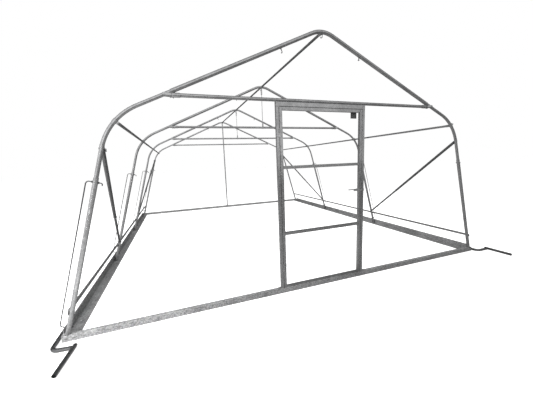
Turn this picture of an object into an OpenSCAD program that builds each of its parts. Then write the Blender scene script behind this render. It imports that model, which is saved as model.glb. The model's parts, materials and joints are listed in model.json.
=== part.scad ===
// Polytunnel greenhouse frame: four bent-tube hoops on a steel ground frame,
// joined by purlins, side rails and braces, with a hinged door in the front
// gable and a roll-up vent tube with a crank lying along each side.
// Millimetres. X runs across the tunnel, Y from the front gable to the rear,
// Z up. The origin is on the ground, at the middle of the front gable.

/* [Tunnel] */
// Width between the leg axes, measured on the ground
span = 5180; // [4200:10:6200]
// Distance from one hoop to the next
bay = 2000; // [1600:10:2500]
// Number of hoops
hoop_count = 4; // [4:1:4]
// Height where the lines of the two roof slopes cross, above the ridge
apex_h = 2822; // [2650:2:3200]
// Height where the lines of leg and roof cross, outside the eave bend
knee_h = 1892; // [1780:2:1950]
// Lean of the legs towards the middle, in degrees
leg_lean = 15.6; // [8:0.2:18]

/* [Hoop tubes] */
// Diameter of the legs
leg_d = 40; // [36:1:50]
// Diameter of the eave bends, which plug into the legs
eave_d = 34; // [25:1:35]
// Diameter of the ridge bends, which sleeve over the eave bends
ridge_d = 40; // [36:1:50]
// Height of the joint between leg and eave bend
socket_h = 1395; // [1200:5:1500]
// Length of the eave bend's upper arm, from the knee to the joint with the ridge bend
eave_arm = 572; // [420:2:650]
// Radius of the eave bend, on the tube axis
eave_r = 550; // [350:10:650]
// Radius of the ridge bend, on the tube axis
ridge_r = 300; // [200:10:400]

/* [Ties, purlins and braces] */
// Height of the tie bars' axis
tie_h = 2095; // [2050:5:2200]
// Diameter of the tie bars
tie_d = 35; // [25:1:40]
// Diameter of the hangers between ridge and tie
hanger_d = 10; // [8:1:16]
// Diameter of the sleeve at a hanger's top
hanger_sleeve_d = 24; // [18:1:30]
// Length of the sleeve at a hanger's top
hanger_sleeve_l = 110; // [60:5:200]
// Diameter of the rear gable's post
rear_post_d = 32; // [25:1:40]
// Diameter of the purlins
purlin_d = 28; // [20:1:32]
// Place of the eave purlins around the eave bends, from leg to roof
purlin_place = 0.53; // [0.3:0.01:0.7]
// Diameter of the lower side rails, which run outside the legs
side_rail_d = 32; // [20:1:36]
// Height of the lower side rails' axis
side_rail_h = 256; // [200:2:450]
// Distance of the side rails' axis from the legs' outer side
side_rail_off = 8; // [4:1:16]
// Thickness of a side rail where it is pressed flat on a leg
rail_flat_t = 5; // [3:0.5:8]
// Length that is pressed flat at each leg
rail_flat_l = 70; // [50:2:120]
// Diameter of a brace's upper, outer tube
brace_d = 36; // [30:1:40]
// Diameter of a brace's lower, inner tube
brace_inner_d = 30; // [20:1:30]
// Height of a brace's upper end
brace_top_h = 1660; // [1450:5:1700]
// Height of a brace's lower end
brace_foot_h = 290; // [250:5:600]
// Share of a brace that its outer tube covers
brace_sleeve = 0.6; // [0.3:0.05:0.8]

/* [Ground frame] */
// Height of the front and rear sills
sill_h = 60; // [40:1:80]
// Depth of the front and rear sills
sill_w = 40; // [30:1:60]
// Width of the side angles' flange, flat on the ground
angle_w = 105; // [80:1:120]
// Height of the side angles' web, outside the legs
angle_h = 90; // [60:1:110]
// Thickness of the side angles
angle_t = 3; // [2:0.5:6]
// Diameter of the anchor holes in the side angles
anchor_d = 12; // [8:0.5:16]
// Distance of the anchor holes from the web's outer face
anchor_in = 45; // [30:1:70]
// Distance between the anchor holes
anchor_pitch = 500; // [450:10:700]
// Distance of the first anchor hole from the front hoop
anchor_start = 300; // [250:10:400]

/* [Door] */
// Width across the outsides of the door posts
door_frame_w = 1112; // [900:2:1300]
// Side of the square tube of the posts and of the leaf
door_tube = 32; // [25:1:40]
// Height of the header over the leaf
header_h = 45; // [30:1:60]
// Gap around the leaf
door_gap = 5; // [5:0.5:8]
// Height of the upper middle rail's axis
upper_rail_h = 1409; // [1301:2:1501]
// Height of the lower middle rail's axis
lower_rail_h = 685; // [500:5:800]
// Height of the flat bar that closes the leaf's foot
foot_bar_h = 12; // [8:1:30]
// Heights of the two hinges
hinge_hs = [300, 1765];
// Length of one hinge, both knuckles together
hinge_l = 90; // [60:2:120]
// Diameter of the hinge barrel
barrel_d = 14; // [12:0.5:18]
// Diameter of the hinge pin
pin_d = 6; // [5:0.5:8]
// Distance of the hinge axis in front of the leaf's face
hinge_out = 12; // [10:0.5:16]
// Height of the lever's axis
lever_h = 1100; // [900:5:1200]
// Length of each lever, from its axis
lever_l = 115; // [90:1:140]
// Distance of each lever from the middle of the leaf
lever_out = 55; // [45:1:70]
// Diameter of the lever bars
lever_d = 12; // [10:0.5:16]
// Diameter of the spindle between the levers
spindle_d = 8; // [6:0.5:10]

/* [Side vents] */
// Diameter of the roll-up tubes and cranks
roll_d = 34; // [25:1:38]
// Distance of the roll-up tubes outside the leg axes on the ground
roll_out = 65; // [60:1:120]
// Length of the roll-up tubes past the rear hoop
roll_past = 60; // [40:5:200]
// Radius of the crank's bend, on the tube axis
crank_r = 60; // [50:5:90]
// Distance of the left and right crank's arm in front of the front hoop
crank_fronts = [140, 85];
// Length of the left and right crank's arm, between the two tube axes
crank_arms = [170, 225];
// Turn of the left and right crank's bend, in degrees
crank_turns = [85, 90];
// Length of the crank handle in front of the arm
handle_front = 300; // [250:5:450]
// Length of the crank handle behind the arm
handle_back = 32; // [25:1:35]
// Wall of the crank handle's open end
handle_wall = 2; // [1.5:0.5:4]
// Diameter of the guide loops' rod
loop_d = 10; // [8:0.5:12]
// Distance of the guide loops' rod from the leg axis
loop_out = 68; // [62:1:100]
// Place of the loops' lower end, along the leg
loop_low = 127; // [110:1:200]
// Place of the loops' upper end, along the leg
loop_high = 1415; // [1200:5:1420]
// Radius of the loops' corners, on the rod axis
loop_r = 25; // [15:1:30]
// Length of the rod past the leg's inner side
loop_end = 22; // [10:1:30]

/* [Hidden] */
$fn = 48;
// Clearance between pieces that seat on one another
seat = 0.3;
// Split between a tube's bend and its straight ends, and where tubes butt
hairline = 0.02;
// Clearance around the pins and spindles that turn
turn_fit = 0.3;
// Cuts run this far past the faces that they open
cut = 1;

half = span / 2;
length = (hoop_count - 1) * bay;
hoop_ys = [for (i = [0 : hoop_count - 1]) i * bay];

// Leg line: x = half - z * tan(leg_lean). Roof line: z = apex_h - x * tan(roof_pitch)
knee_x = half - knee_h * tan(leg_lean);
roof_pitch = atan((apex_h - knee_h) / knee_x);
ridge_h = apex_h - ridge_r * (1 / cos(roof_pitch) - 1);
// Turn of the eave bend, and the tangent lengths of the two bends
eave_turn = 90 - leg_lean - roof_pitch;
eave_tangent = eave_r * tan(eave_turn / 2);
ridge_tangent = ridge_r * tan(roof_pitch);
// Lengths along the leg line, and along the roof line from the apex
socket_u = socket_h / cos(leg_lean);
knee_u = knee_h / cos(leg_lean);
splice_u = knee_x / cos(roof_pitch) - eave_arm;
// Where the ties stop, under the ridge bends or past their joints under the eave bends
tie_end = tie_reach(ridge_d) < splice_u * cos(roof_pitch) ? tie_reach(ridge_d) : tie_reach(eave_d);
// Place on the eave bend where the eave purlins meet it
purlin_at = leg_lean + purlin_place * eave_turn;
eave_cx = knee_x - eave_r * cos(leg_lean) + eave_tangent * sin(leg_lean);
eave_cz = knee_h - eave_r * sin(leg_lean) - eave_tangent * cos(leg_lean);
purlin_x = eave_cx + eave_r * cos(purlin_at);
purlin_z = eave_cz + eave_r * sin(purlin_at);

// The side angles stand just clear of the legs
angle_out = ceil(half + leg_d / 2 / cos(leg_lean) + 1 + angle_t);
anchor_x = angle_out - anchor_in;
anchor_count = 12;

post_in = door_frame_w / 2 - door_tube;
leaf_half = post_in - door_gap;
head_top = tie_h - tie_d / 2 - seat;
leaf_top = head_top - header_h - door_gap;
leaf_foot = sill_h + door_gap + 1;
hinge_x = -post_in + door_gap / 2;
hinge_y = -door_tube / 2 - hinge_out;
plate_t = 3;
lever_x = leaf_half - door_tube / 2;
lock_w = 28;
lock_h = 64;

roll_x = half + roll_out;

steel = "#9a9d9f";
bright_steel = "#c4c7c9";
dark_steel = "#5d6063";

// How far out a tie's upper edge reaches before it meets a roof tube's underside
function tie_reach(roof_d) =
    (apex_h - roof_d / 2 / cos(roof_pitch) - tie_h - tie_d / 2) / tan(roof_pitch) - seat;

// ---- shared shapes ----

// Places children on one side: 1 is the right side, -1 the left
module on_side(side) {
    if (side > 0) children();
    else mirror([1, 0, 0]) children();
}

// Leg frame of the right side: local Z runs up the leg, local X outward
module leg_frame(y) {
    translate([half, y, 0]) rotate([0, -leg_lean, 0]) children();
}

// Straight round bar between two points
module bar(a, b, d) {
    v = b - a;
    l = norm(v);
    translate(a) rotate([0, acos(v.z / l), atan2(v.y, v.x)]) cylinder(d = d, h = l);
}

// Bend about the origin, starting on X, with a straight tube before and after
module bent_tube(r, angle, d, before, after) {
    rotate_extrude(angle = angle) translate([r, 0]) circle(d = d);
    if (before > 0) translate([r, -hairline, 0]) rotate([90, 0, 0])
        cylinder(d = d, h = before - hairline);
    if (after > 0) rotate([0, 0, angle]) translate([r, hairline, 0]) rotate([-90, 0, 0])
        cylinder(d = d, h = after - hairline);
}

// Turns the bend's plane upright, about a centre, and starts it at an angle
module upright(cx, y, cz, from) {
    translate([cx, y, cz]) rotate([90, 0, 0]) rotate([0, 0, from]) children();
}

// ---- hoops ----

function has_loop(side, i) = side < 0 || i == 1 || i == 2;

module leg(side, i) {
    foot = (i == 0 || i == hoop_count - 1) ? sill_h : angle_t;
    color(steel) on_side(side) difference() {
        leg_frame(hoop_ys[i]) translate([0, 0, -leg_d]) cylinder(d = leg_d, h = socket_u + leg_d);
        translate([half - leg_d * 2, hoop_ys[i] - leg_d, -leg_d * 2])
            cube([leg_d * 4, leg_d * 2, leg_d * 2 + foot]);
        if (has_loop(side, i)) leg_frame(hoop_ys[i])
            for (u = [loop_low, loop_high]) translate([-leg_d, 0, u])
                rotate([0, 90, 0]) cylinder(d = loop_d + 2 * seat, h = leg_d * 2);
    }
}

module eave_bend(side, i) {
    color(steel) on_side(side) upright(eave_cx, hoop_ys[i], eave_cz, leg_lean)
        bent_tube(eave_r, eave_turn, eave_d, knee_u - eave_tangent - socket_u - hairline,
            eave_arm - eave_tangent - hairline);
}

module ridge_bend(i) {
    straight = splice_u - ridge_tangent;
    color(steel) upright(0, hoop_ys[i], ridge_h - ridge_r, 90 - roof_pitch)
        bent_tube(ridge_r, 2 * roof_pitch, ridge_d, straight, straight);
}

module tie_bar(i) {
    color(steel) bar([-tie_end, hoop_ys[i], tie_h], [tie_end, hoop_ys[i], tie_h], tie_d);
}

// Height of the top of an upright tube that seats under the ridge bend
function under_ridge(d) = ridge_h - ridge_r + sqrt(pow(ridge_r - ridge_d / 2, 2) - pow(d / 2, 2)) - seat;

module hangers() {
    top = under_ridge(hanger_sleeve_d);
    low = tie_h + tie_d / 2 + seat;
    color(steel) for (i = [1 : hoop_count - 2]) translate([0, hoop_ys[i], 0]) union() {
        translate([0, 0, low]) cylinder(d = hanger_d, h = top - low);
        translate([0, 0, top - hanger_sleeve_l]) cylinder(d = hanger_sleeve_d, h = hanger_sleeve_l);
        translate([0, 0, low]) cylinder(d = hanger_sleeve_d, h = hanger_sleeve_l / 2);
    }
}

module rear_post() {
    color(steel) translate([0, length, 0]) {
        translate([0, 0, sill_h]) cylinder(d = rear_post_d, h = tie_h - tie_d / 2 - seat - sill_h);
        translate([0, 0, tie_h + tie_d / 2 + seat])
            cylinder(d = rear_post_d, h = under_ridge(rear_post_d) - tie_h - tie_d / 2 - seat);
    }
}

// ---- purlins, rails and braces ----

// One tube in each bay, from hoop tube to hoop tube
module bay_tubes(x, z, d, hoop_d) {
    for (i = [0 : hoop_count - 2])
        bar([x, hoop_ys[i] + hoop_d / 2 + seat, z], [x, hoop_ys[i + 1] - hoop_d / 2 - seat, z], d);
}

module ridge_purlin() {
    color(dark_steel) bay_tubes(0, ridge_h, purlin_d, ridge_d);
}

module eave_purlin(side) {
    color(steel) on_side(side) bay_tubes(purlin_x, purlin_z, purlin_d, eave_d);
}

// Pressed flat length of a side rail on the outer side of a leg
module rail_flat(y, u) {
    y0 = max(-rail_flat_l / 2, -leg_d / 2 - y);
    y1 = min(rail_flat_l / 2, length + leg_d / 2 - y);
    leg_frame(y) translate([leg_d / 2 + seat, y0, u - side_rail_d / 2 - 2])
        cube([rail_flat_t, y1 - y0, side_rail_d + 4]);
}

module side_rail(side) {
    out = leg_d / 2 + side_rail_off;
    u = (side_rail_h - out * sin(leg_lean)) / cos(leg_lean);
    color(steel) on_side(side) {
        for (y = hoop_ys) rail_flat(y, u);
        for (i = [0 : hoop_count - 2]) leg_frame(hoop_ys[i])
            translate([out, rail_flat_l / 2 + hairline, u]) rotate([-90, 0, 0])
                cylinder(d = side_rail_d, h = bay - rail_flat_l - 2 * hairline);
    }
}

// Telescopic tube in the plane of the legs: the top is at the gable hoop, the
// foot at its neighbour
module brace(side, top_y, foot_y) {
    dir = foot_y > top_y ? 1 : -1;
    a = [half - brace_top_h * tan(leg_lean), top_y, brace_top_h];
    b = [half - brace_foot_h * tan(leg_lean), foot_y, brace_foot_h];
    joint = a + (b - a) * brace_sleeve;
    y0 = top_y + dir * (eave_d / 2 + seat);
    y1 = foot_y - dir * (leg_d / 2 + seat);
    color(dark_steel) on_side(side) intersection() {
        union() {
            bar(a, joint, brace_d);
            bar(joint, b, brace_inner_d);
        }
        translate([0, min(y0, y1), 0]) cube([half, abs(y1 - y0), apex_h]);
    }
}

// ---- ground frame ----

module sill(y) {
    color(bright_steel) translate([-angle_out, y - sill_w / 2, 0])
        cube([2 * angle_out, sill_w, sill_h]);
}

module base_angle(side) {
    y0 = sill_w / 2;
    color(dark_steel) on_side(side) difference() {
        union() {
            translate([angle_out - angle_w, y0, 0]) cube([angle_w, length - sill_w, angle_t]);
            translate([angle_out - angle_t, y0, 0]) cube([angle_t, length - sill_w, angle_h]);
        }
        for (i = [0 : anchor_count - 1])
            translate([anchor_x, anchor_start + i * anchor_pitch, -cut])
                cylinder(d = anchor_d, h = angle_t + 2 * cut);
    }
}

// ---- door ----

module door_post(side) {
    color(steel) on_side(side) translate([post_in, -door_tube / 2, sill_h])
        cube([door_tube, door_tube, head_top - sill_h]);
}

module door_header() {
    color(steel) translate([-post_in, -door_tube / 2, head_top - header_h])
        cube([2 * post_in, door_tube, header_h]);
}

// Folded plate behind the leaf's top corner, hung from the header
module door_stop() {
    stop_w = 80;
    drop = 100;
    gap = door_gap + 1;
    color(dark_steel) union() {
        translate([leaf_half - door_tube - stop_w - 20, door_tube / 2, head_top - header_h])
            cube([stop_w, gap + plate_t, header_h - 5]);
        translate([leaf_half - door_tube - stop_w - 20, door_tube / 2 + gap, head_top - header_h - drop])
            cube([stop_w, plate_t, drop + 5]);
    }
}

module door_stile(side) {
    color(steel) on_side(side) difference() {
        translate([leaf_half - door_tube, -door_tube / 2, leaf_foot])
            cube([door_tube, door_tube, leaf_top - leaf_foot]);
        if (side > 0) translate([lever_x, 0, lever_h]) rotate([90, 0, 0])
            cylinder(d = spindle_d + 2 * turn_fit, h = door_tube + 2 * cut, center = true);
    }
}

module door_rails() {
    in_w = 2 * (leaf_half - door_tube);
    color(steel) {
        translate([-in_w / 2, -door_tube / 2, leaf_top - door_tube]) cube([in_w, door_tube, door_tube]);
        for (h = [upper_rail_h, lower_rail_h])
            translate([-in_w / 2, -door_tube / 2, h - door_tube / 2]) cube([in_w, door_tube, door_tube]);
        translate([-in_w / 2, -door_tube / 2, leaf_foot]) cube([in_w, door_tube, foot_bar_h]);
    }
}

// One half of a hinge, around the axis: a barrel, a web and a flat leaf plate
module hinge_half(dir, z0, h) {
    web = 8;
    reach = dir > 0 ? door_tube : door_tube - 4;
    edge = door_gap / 2;
    translate([hinge_x, hinge_y, z0]) {
        cylinder(d = barrel_d, h = h);
        translate([dir > 0 ? edge : -edge - web, -barrel_d / 4, 0])
            cube([web, hinge_out + barrel_d / 4, h]);
        translate([dir > 0 ? edge : -edge - reach, hinge_out - plate_t, 0])
            cube([reach, plate_t, h]);
    }
}

module post_hinges() {
    half_l = hinge_l / 2;
    color(steel) for (z = hinge_hs) union() {
        hinge_half(-1, z - half_l, half_l - seat);
        translate([hinge_x, hinge_y, z - seat - cut]) cylinder(d = pin_d, h = half_l - 2);
    }
}

module door_hinges() {
    half_l = hinge_l / 2;
    color(steel) for (z = hinge_hs) difference() {
        hinge_half(1, z + seat, half_l - seat);
        translate([hinge_x, hinge_y, z - cut]) cylinder(d = pin_d + 2 * turn_fit, h = half_l + 2 * cut);
    }
}

module door_lever() {
    color(bright_steel) translate([lever_x, 0, lever_h]) union() {
        rotate([90, 0, 0]) cylinder(d = spindle_d, h = 2 * lever_out, center = true);
        for (s = [-1, 1]) {
            translate([0, s * (lever_out - lever_d), 0]) rotate([90, 0, 0])
                cylinder(d = lever_d + 8, h = lever_d, center = true);
            translate([-lever_l, s * (lever_out - lever_d / 2), 0]) rotate([0, 90, 0])
                cylinder(d = lever_d, h = lever_l + lever_d / 2);
        }
    }
}

module lock_plates() {
    color(bright_steel) for (s = [-1, 1]) difference() {
        translate([lever_x - lock_w / 2, s > 0 ? door_tube / 2 : -door_tube / 2 - plate_t, lever_h - lock_h / 2])
            cube([lock_w, plate_t, lock_h]);
        translate([lever_x, s * door_tube / 2, lever_h]) rotate([90, 0, 0])
            cylinder(d = spindle_d + 2 * turn_fit, h = 4 * plate_t, center = true);
    }
}

module strike_plate() {
    color(bright_steel) translate([post_in + 2, -door_tube / 2 - plate_t, lever_h - lock_w / 2])
        cube([door_tube, plate_t, lock_w]);
}

// ---- side vents ----

// Long loop beside a leg: the rod passes through the leg at both ends
module guide_loop(y) {
    through = leg_d / 2 + loop_end + loop_out - loop_r;
    leg_frame(y) {
        upright(loop_out - loop_r, 0, loop_low + loop_r, 270)
            bent_tube(loop_r, 90, loop_d, through, loop_high - loop_low - 2 * loop_r - hairline);
        upright(loop_out - loop_r, 0, loop_high - loop_r, 0) bent_tube(loop_r, 90, loop_d, 0, through);
    }
}

module guide_loops(side) {
    color(bright_steel) on_side(side) for (i = [0 : hoop_count - 1])
        if (has_loop(side, i)) guide_loop(hoop_ys[i]);
}

// Tube along the side, bent into a crank arm that points to +X on both sides
module roll_tube(side) {
    at = side < 0 ? 0 : 1;
    turn = crank_turns[at];
    arm = crank_arms[at] - crank_r;
    color(steel) translate([side * roll_x + crank_r, crank_r - crank_fronts[at], roll_d / 2])
        rotate([0, 0, 180]) {
            bent_tube(crank_r, turn, roll_d, length + roll_past + crank_fronts[at] - crank_r, arm - roll_d / 2);
            rotate([0, 0, turn]) difference() {
                bar([crank_r - handle_back, arm, 0], [crank_r + handle_front, arm, 0], roll_d);
                bar([crank_r + roll_d, arm, 0], [crank_r + handle_front + cut, arm, 0], roll_d - 2 * handle_wall);
            }
        }
}

leg(-1, 0);  // leg_left_1
leg(-1, 1);  // leg_left_2
leg(-1, 2);  // leg_left_3
leg(-1, 3);  // leg_left_4
leg(1, 0);  // leg_right_1
leg(1, 1);  // leg_right_2
leg(1, 2);  // leg_right_3
leg(1, 3);  // leg_right_4
eave_bend(-1, 0);  // eave_bend_left_1
eave_bend(-1, 1);  // eave_bend_left_2
eave_bend(-1, 2);  // eave_bend_left_3
eave_bend(-1, 3);  // eave_bend_left_4
eave_bend(1, 0);  // eave_bend_right_1
eave_bend(1, 1);  // eave_bend_right_2
eave_bend(1, 2);  // eave_bend_right_3
eave_bend(1, 3);  // eave_bend_right_4
ridge_bend(0);  // ridge_bend_1
ridge_bend(1);  // ridge_bend_2
ridge_bend(2);  // ridge_bend_3
ridge_bend(3);  // ridge_bend_4
tie_bar(0);  // tie_bar_1
tie_bar(1);  // tie_bar_2
tie_bar(2);  // tie_bar_3
tie_bar(3);  // tie_bar_4
hangers();
rear_post();
ridge_purlin();
eave_purlin(-1);  // eave_purlin_left
eave_purlin(1);  // eave_purlin_right
side_rail(-1);  // side_rail_left
side_rail(1);  // side_rail_right
brace(-1, 0, bay);  // brace_front_left
brace(1, 0, bay);  // brace_front_right
brace(-1, length, length - bay);  // brace_rear_left
brace(1, length, length - bay);  // brace_rear_right
sill(0);  // front_sill
sill(length);  // rear_sill
base_angle(-1);  // base_angle_left
base_angle(1);  // base_angle_right
door_post(-1);  // door_post_left
door_post(1);  // door_post_right
door_header();
door_stop();
door_stile(-1);  // door_hinge_stile
door_stile(1);  // door_latch_stile
door_rails();
post_hinges();
door_hinges();
door_lever();
lock_plates();
strike_plate();
guide_loops(-1);  // guide_loops_left
guide_loops(1);  // guide_loops_right
roll_tube(-1);  // roll_tube_left
roll_tube(1);  // roll_tube_right
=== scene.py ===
# %% [markdown]
# # A polytunnel greenhouse frame
# This lesson dresses a finished frame model of a walk-in tunnel: four bent
# hoops of galvanised tube on a steel ground frame, with purlins, braces, a
# gable door and a roll-up vent tube along each side. The tubes come from the
# frame model. The small things that a fitter adds on site are made here, and
# every surface gets a zinc finish from nodes.

# %% Load the frame and keep its box
import json
import math

import bmesh
import bpy
from mathutils import Matrix, Vector

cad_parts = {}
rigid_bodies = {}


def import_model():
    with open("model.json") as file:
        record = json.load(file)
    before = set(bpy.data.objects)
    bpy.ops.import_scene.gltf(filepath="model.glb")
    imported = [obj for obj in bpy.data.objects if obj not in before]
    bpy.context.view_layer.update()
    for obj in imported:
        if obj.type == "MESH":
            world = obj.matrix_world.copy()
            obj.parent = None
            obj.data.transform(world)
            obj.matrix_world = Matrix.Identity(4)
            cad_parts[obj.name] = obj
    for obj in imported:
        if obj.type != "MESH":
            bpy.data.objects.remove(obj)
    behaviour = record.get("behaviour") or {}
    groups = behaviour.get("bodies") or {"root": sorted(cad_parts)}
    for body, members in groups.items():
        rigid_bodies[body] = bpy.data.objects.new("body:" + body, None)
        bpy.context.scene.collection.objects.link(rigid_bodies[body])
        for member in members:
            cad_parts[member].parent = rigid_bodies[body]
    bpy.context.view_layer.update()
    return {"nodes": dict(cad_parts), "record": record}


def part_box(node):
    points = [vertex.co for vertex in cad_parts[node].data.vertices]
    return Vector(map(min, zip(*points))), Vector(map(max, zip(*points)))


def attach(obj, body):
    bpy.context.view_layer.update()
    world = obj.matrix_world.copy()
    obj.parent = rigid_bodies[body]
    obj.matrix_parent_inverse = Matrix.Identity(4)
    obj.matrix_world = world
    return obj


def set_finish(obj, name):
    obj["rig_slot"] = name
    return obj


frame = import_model()
slots = {row["node"]: row["material_slot"] for row in frame["record"]["subparts"]}

# %% [markdown]
# ## The frame's own measures
# A fitting has to sit exactly on its tube. The boxes of the frame's nodes give
# where the tubes are, so only the lean of the legs and the slope of the roof
# are stated as angles, and the rest is worked out from the boxes. This is safer
# than typing coordinates: if a tube moves, its bolts go with it.

# %% Where the tubes run
LEAN = math.radians(15.6)  # legs, from upright
PITCH = math.radians(24.279)  # roof tubes, from level


def middle(node):
    low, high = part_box(node)
    return (low + high) / 2


def half_width(node):
    low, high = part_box(node)
    return (high.y - low.y) / 2


HOOPS = [middle(f"leg_right_{n}").y for n in (1, 2, 3, 4)]
SIDES = (-1, 1)
leg_r = half_width("leg_right_2")
eave_r = half_width("eave_bend_right_2")
ridge_r = half_width("ridge_bend_2")
leg_low, leg_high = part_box("leg_right_2")
foot_x = leg_high.x + leg_low.z * math.tan(LEAN) - leg_r / math.cos(LEAN)
leg_top = (leg_high.z - leg_r * math.sin(LEAN)) / math.cos(LEAN)
ridge_low, ridge_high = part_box("ridge_bend_2")
roof_end = Vector((ridge_high.x - ridge_r * math.sin(PITCH), 0,
                   ridge_low.z + ridge_r * math.cos(PITCH)))
apex_z = roof_end.z + roof_end.x * math.tan(PITCH)
splice = roof_end.x / math.cos(PITCH)
ridge_z = ridge_high.z - ridge_r
print(f"leg foot {foot_x:.3f}, leg joint {leg_top:.3f} up, "
      f"roof joint {splice:.3f} down, ridge {ridge_z:.3f} m")

# %% Points and directions on the hoops


def on_leg(side, up, out=0.0, y=0.0):
    """Point so far up the leg's axis and so far outside it."""
    x = foot_x - up * math.sin(LEAN) + out * math.cos(LEAN)
    return Vector((side * x, y, up * math.cos(LEAN) + out * math.sin(LEAN)))


def on_roof(side, down, out=0.0, y=0.0):
    """Point so far down the roof line from the apex and so far above it."""
    x = down * math.cos(PITCH) + out * math.sin(PITCH)
    return Vector((side * x, y, apex_z - down * math.sin(PITCH) + out * math.cos(PITCH)))


def leg_way(side):
    return Vector((-side * math.sin(LEAN), 0, math.cos(LEAN)))


def leg_out(side):
    return Vector((side * math.cos(LEAN), 0, math.sin(LEAN)))


def roof_way(side):
    return Vector((side * math.cos(PITCH), 0, -math.sin(PITCH)))


ALONG = Vector((0, 1, 0))
UP = Vector((0, 0, 1))
print("the first joint is", round(on_leg(1, leg_top).z, 3), "m above the ground")

# %% [markdown]
# ## One way to put shapes in place
# Each fitting is drawn once around the origin, with its own Z as the way it
# points, and then laid on the tube. A matrix that sends Z along any direction
# does this for bolts, rings and rods alike. Many small parts share one mesh, so
# a finished object is a set, such as all bolts of the leg joints.

# %% Laying shapes and making objects


def lay(at, way=UP, turn=0.0):
    """Matrix that puts a shape's own Z along a direction, at a point."""
    to_way = Vector(way).to_track_quat("Z", "Y").to_matrix().to_4x4()
    return Matrix.Translation(at) @ to_way @ Matrix.Rotation(turn, 4, "Z")


def finish_set(name, mesh_data, body, slot):
    """Makes the object of one set of fittings, riding on a body."""
    mesh = bpy.data.meshes.new(name)
    mesh_data.to_mesh(mesh)
    mesh_data.free()
    thing = bpy.data.objects.new(name, mesh)
    bpy.context.scene.collection.objects.link(thing)
    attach(thing, body)
    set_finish(thing, slot)
    print(f"{name}: {len(mesh.polygons)} faces")
    return thing


def add_shape(target, shape, place):
    """Closes and turns out a loose shape, then lays it into a set."""
    bmesh.ops.remove_doubles(shape, verts=shape.verts, dist=1e-5)
    bmesh.ops.recalc_face_normals(shape, faces=shape.faces)
    shape.transform(place)
    carrier = bpy.data.meshes.new("carrier")
    shape.to_mesh(carrier)
    shape.free()
    target.from_mesh(carrier)
    bpy.data.meshes.remove(carrier)


# %% [markdown]
# ## Basic shapes from mesh operators
# A nut is a six-sided cone with its rims bevelled, a collar is a profile spun
# round an axis, and a bent rod or a pressed tube end is a row of rings bridged
# to one another. Curves with a bevel could make the rods as well, but rings can
# also change from round to flat, which is what a press does to a tube's end.

# %% Discs, plates and spun shapes
RIM_ANGLE = 1.3  # radians: only square rims are bevelled, not a nut's corners


def disc(target, place, radius, thick, sides=18, chamfer=0.0):
    """Short solid standing on the place, along its Z."""
    centre = place @ Matrix.Translation((0, 0, thick / 2))
    made = bmesh.ops.create_cone(target, cap_ends=True, segments=sides, radius1=radius,
                                 radius2=radius, depth=thick, matrix=centre)
    if chamfer:
        edges = {edge for vert in made["verts"] for edge in vert.link_edges}
        rims = [edge for edge in edges if edge.calc_face_angle(0) > RIM_ANGLE]
        bmesh.ops.bevel(target, geom=rims, offset=chamfer, segments=1, profile=0.5,
                        affect="EDGES", material=-1)


def plate(target, place, size, round_by=0.0008):
    """Flat bar or block around the place, with softened edges."""
    made = bmesh.ops.create_cube(target, size=1, matrix=place @ Matrix.Diagonal((*size, 1)))
    edges = {edge for vert in made["verts"] for edge in vert.link_edges}
    bmesh.ops.bevel(target, geom=list(edges), offset=round_by, segments=2, profile=0.5,
                    affect="EDGES", material=-1)


def spun(target, profile, place, steps=28):
    """Closed shape made by turning a profile of (radius, height) round Z."""
    shape = bmesh.new()
    verts = [shape.verts.new((radius, 0, height)) for radius, height in profile]
    edges = [shape.edges.new(pair) for pair in zip(verts, verts[1:])]
    bmesh.ops.spin(shape, geom=verts + edges, cent=(0, 0, 0), axis=(0, 0, 1), angle=2 * math.pi,
                   steps=steps, use_merge=True)
    add_shape(target, shape, place)


def collar(target, place, inner, outer, length, soft=0.0008):
    """Sleeve round a tube, centred on the place, with softened rims."""
    half = length / 2
    spun(target, [(inner, -half), (outer - soft, -half), (outer, soft - half),
                  (outer, half - soft), (outer - soft, half), (inner, half), (inner, -half)], place)


print("shapes: disc, plate, spun, collar")

# %% Rings bridged into rods and pressed ends


def ringed(target, rings, sides=12):
    """Solid through rings, each a place with a width and a height."""
    shape = bmesh.new()
    before = None
    for place, width, height in rings:
        size = Matrix.Diagonal((width / 2, height / 2, 1, 1))
        made = bmesh.ops.create_circle(shape, cap_ends=False, segments=sides, radius=1,
                                       matrix=place @ size)
        loop = list({edge for vert in made["verts"] for edge in vert.link_edges})
        if before:
            bmesh.ops.bridge_loops(shape, edges=before + loop)
        before = loop
    bmesh.ops.holes_fill(shape, edges=[edge for edge in shape.edges if edge.is_boundary], sides=0)
    add_shape(target, shape, Matrix.Identity(4))


def rod_way(place, steps):
    """Places along a rod: a number is a straight, (radius, degrees) a turn towards own X."""
    places = [place]
    for step in steps:
        if isinstance(step, tuple):
            radius, degrees = step
            count = max(2, round(abs(degrees) / 20))
            turn = Matrix.Rotation(math.radians(degrees) / count, 4, "Y")
            to_hub = Matrix.Translation((radius, 0, 0))
            for _ in range(count):
                place = place @ to_hub @ turn @ to_hub.inverted()
                places.append(place)
        else:
            place = place @ Matrix.Translation((0, 0, step))
            places.append(place)
    return places


def rod(target, width, places, sides=10):
    ringed(target, [(place, width, width) for place in places], sides)


def bead(target, start, end, width=0.004, drops=6):
    """Weld bead between two points: a rod that swells at each drop."""
    way = Vector(end) - Vector(start)
    rings = []
    for k in range(2 * drops + 1):
        swell = width if k % 2 else width * 0.72
        rings.append((lay(Vector(start) + way * k / (2 * drops), way), swell, swell))
    ringed(target, rings, 7)


print("shapes: ringed, rod, bead")

# %% [markdown]
# ## Bolts and nuts
# The joints of such a frame are closed with plain hexagon bolts. A head is a
# washer with a six-sided block on it, and its rims are chamfered as on a turned
# bolt. The far side has a nut and a short end of the thread. They are repeated
# about a hundred times, so each has only a few dozen faces.

# %% Bolt head, nut and a bolt through a tube


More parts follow.
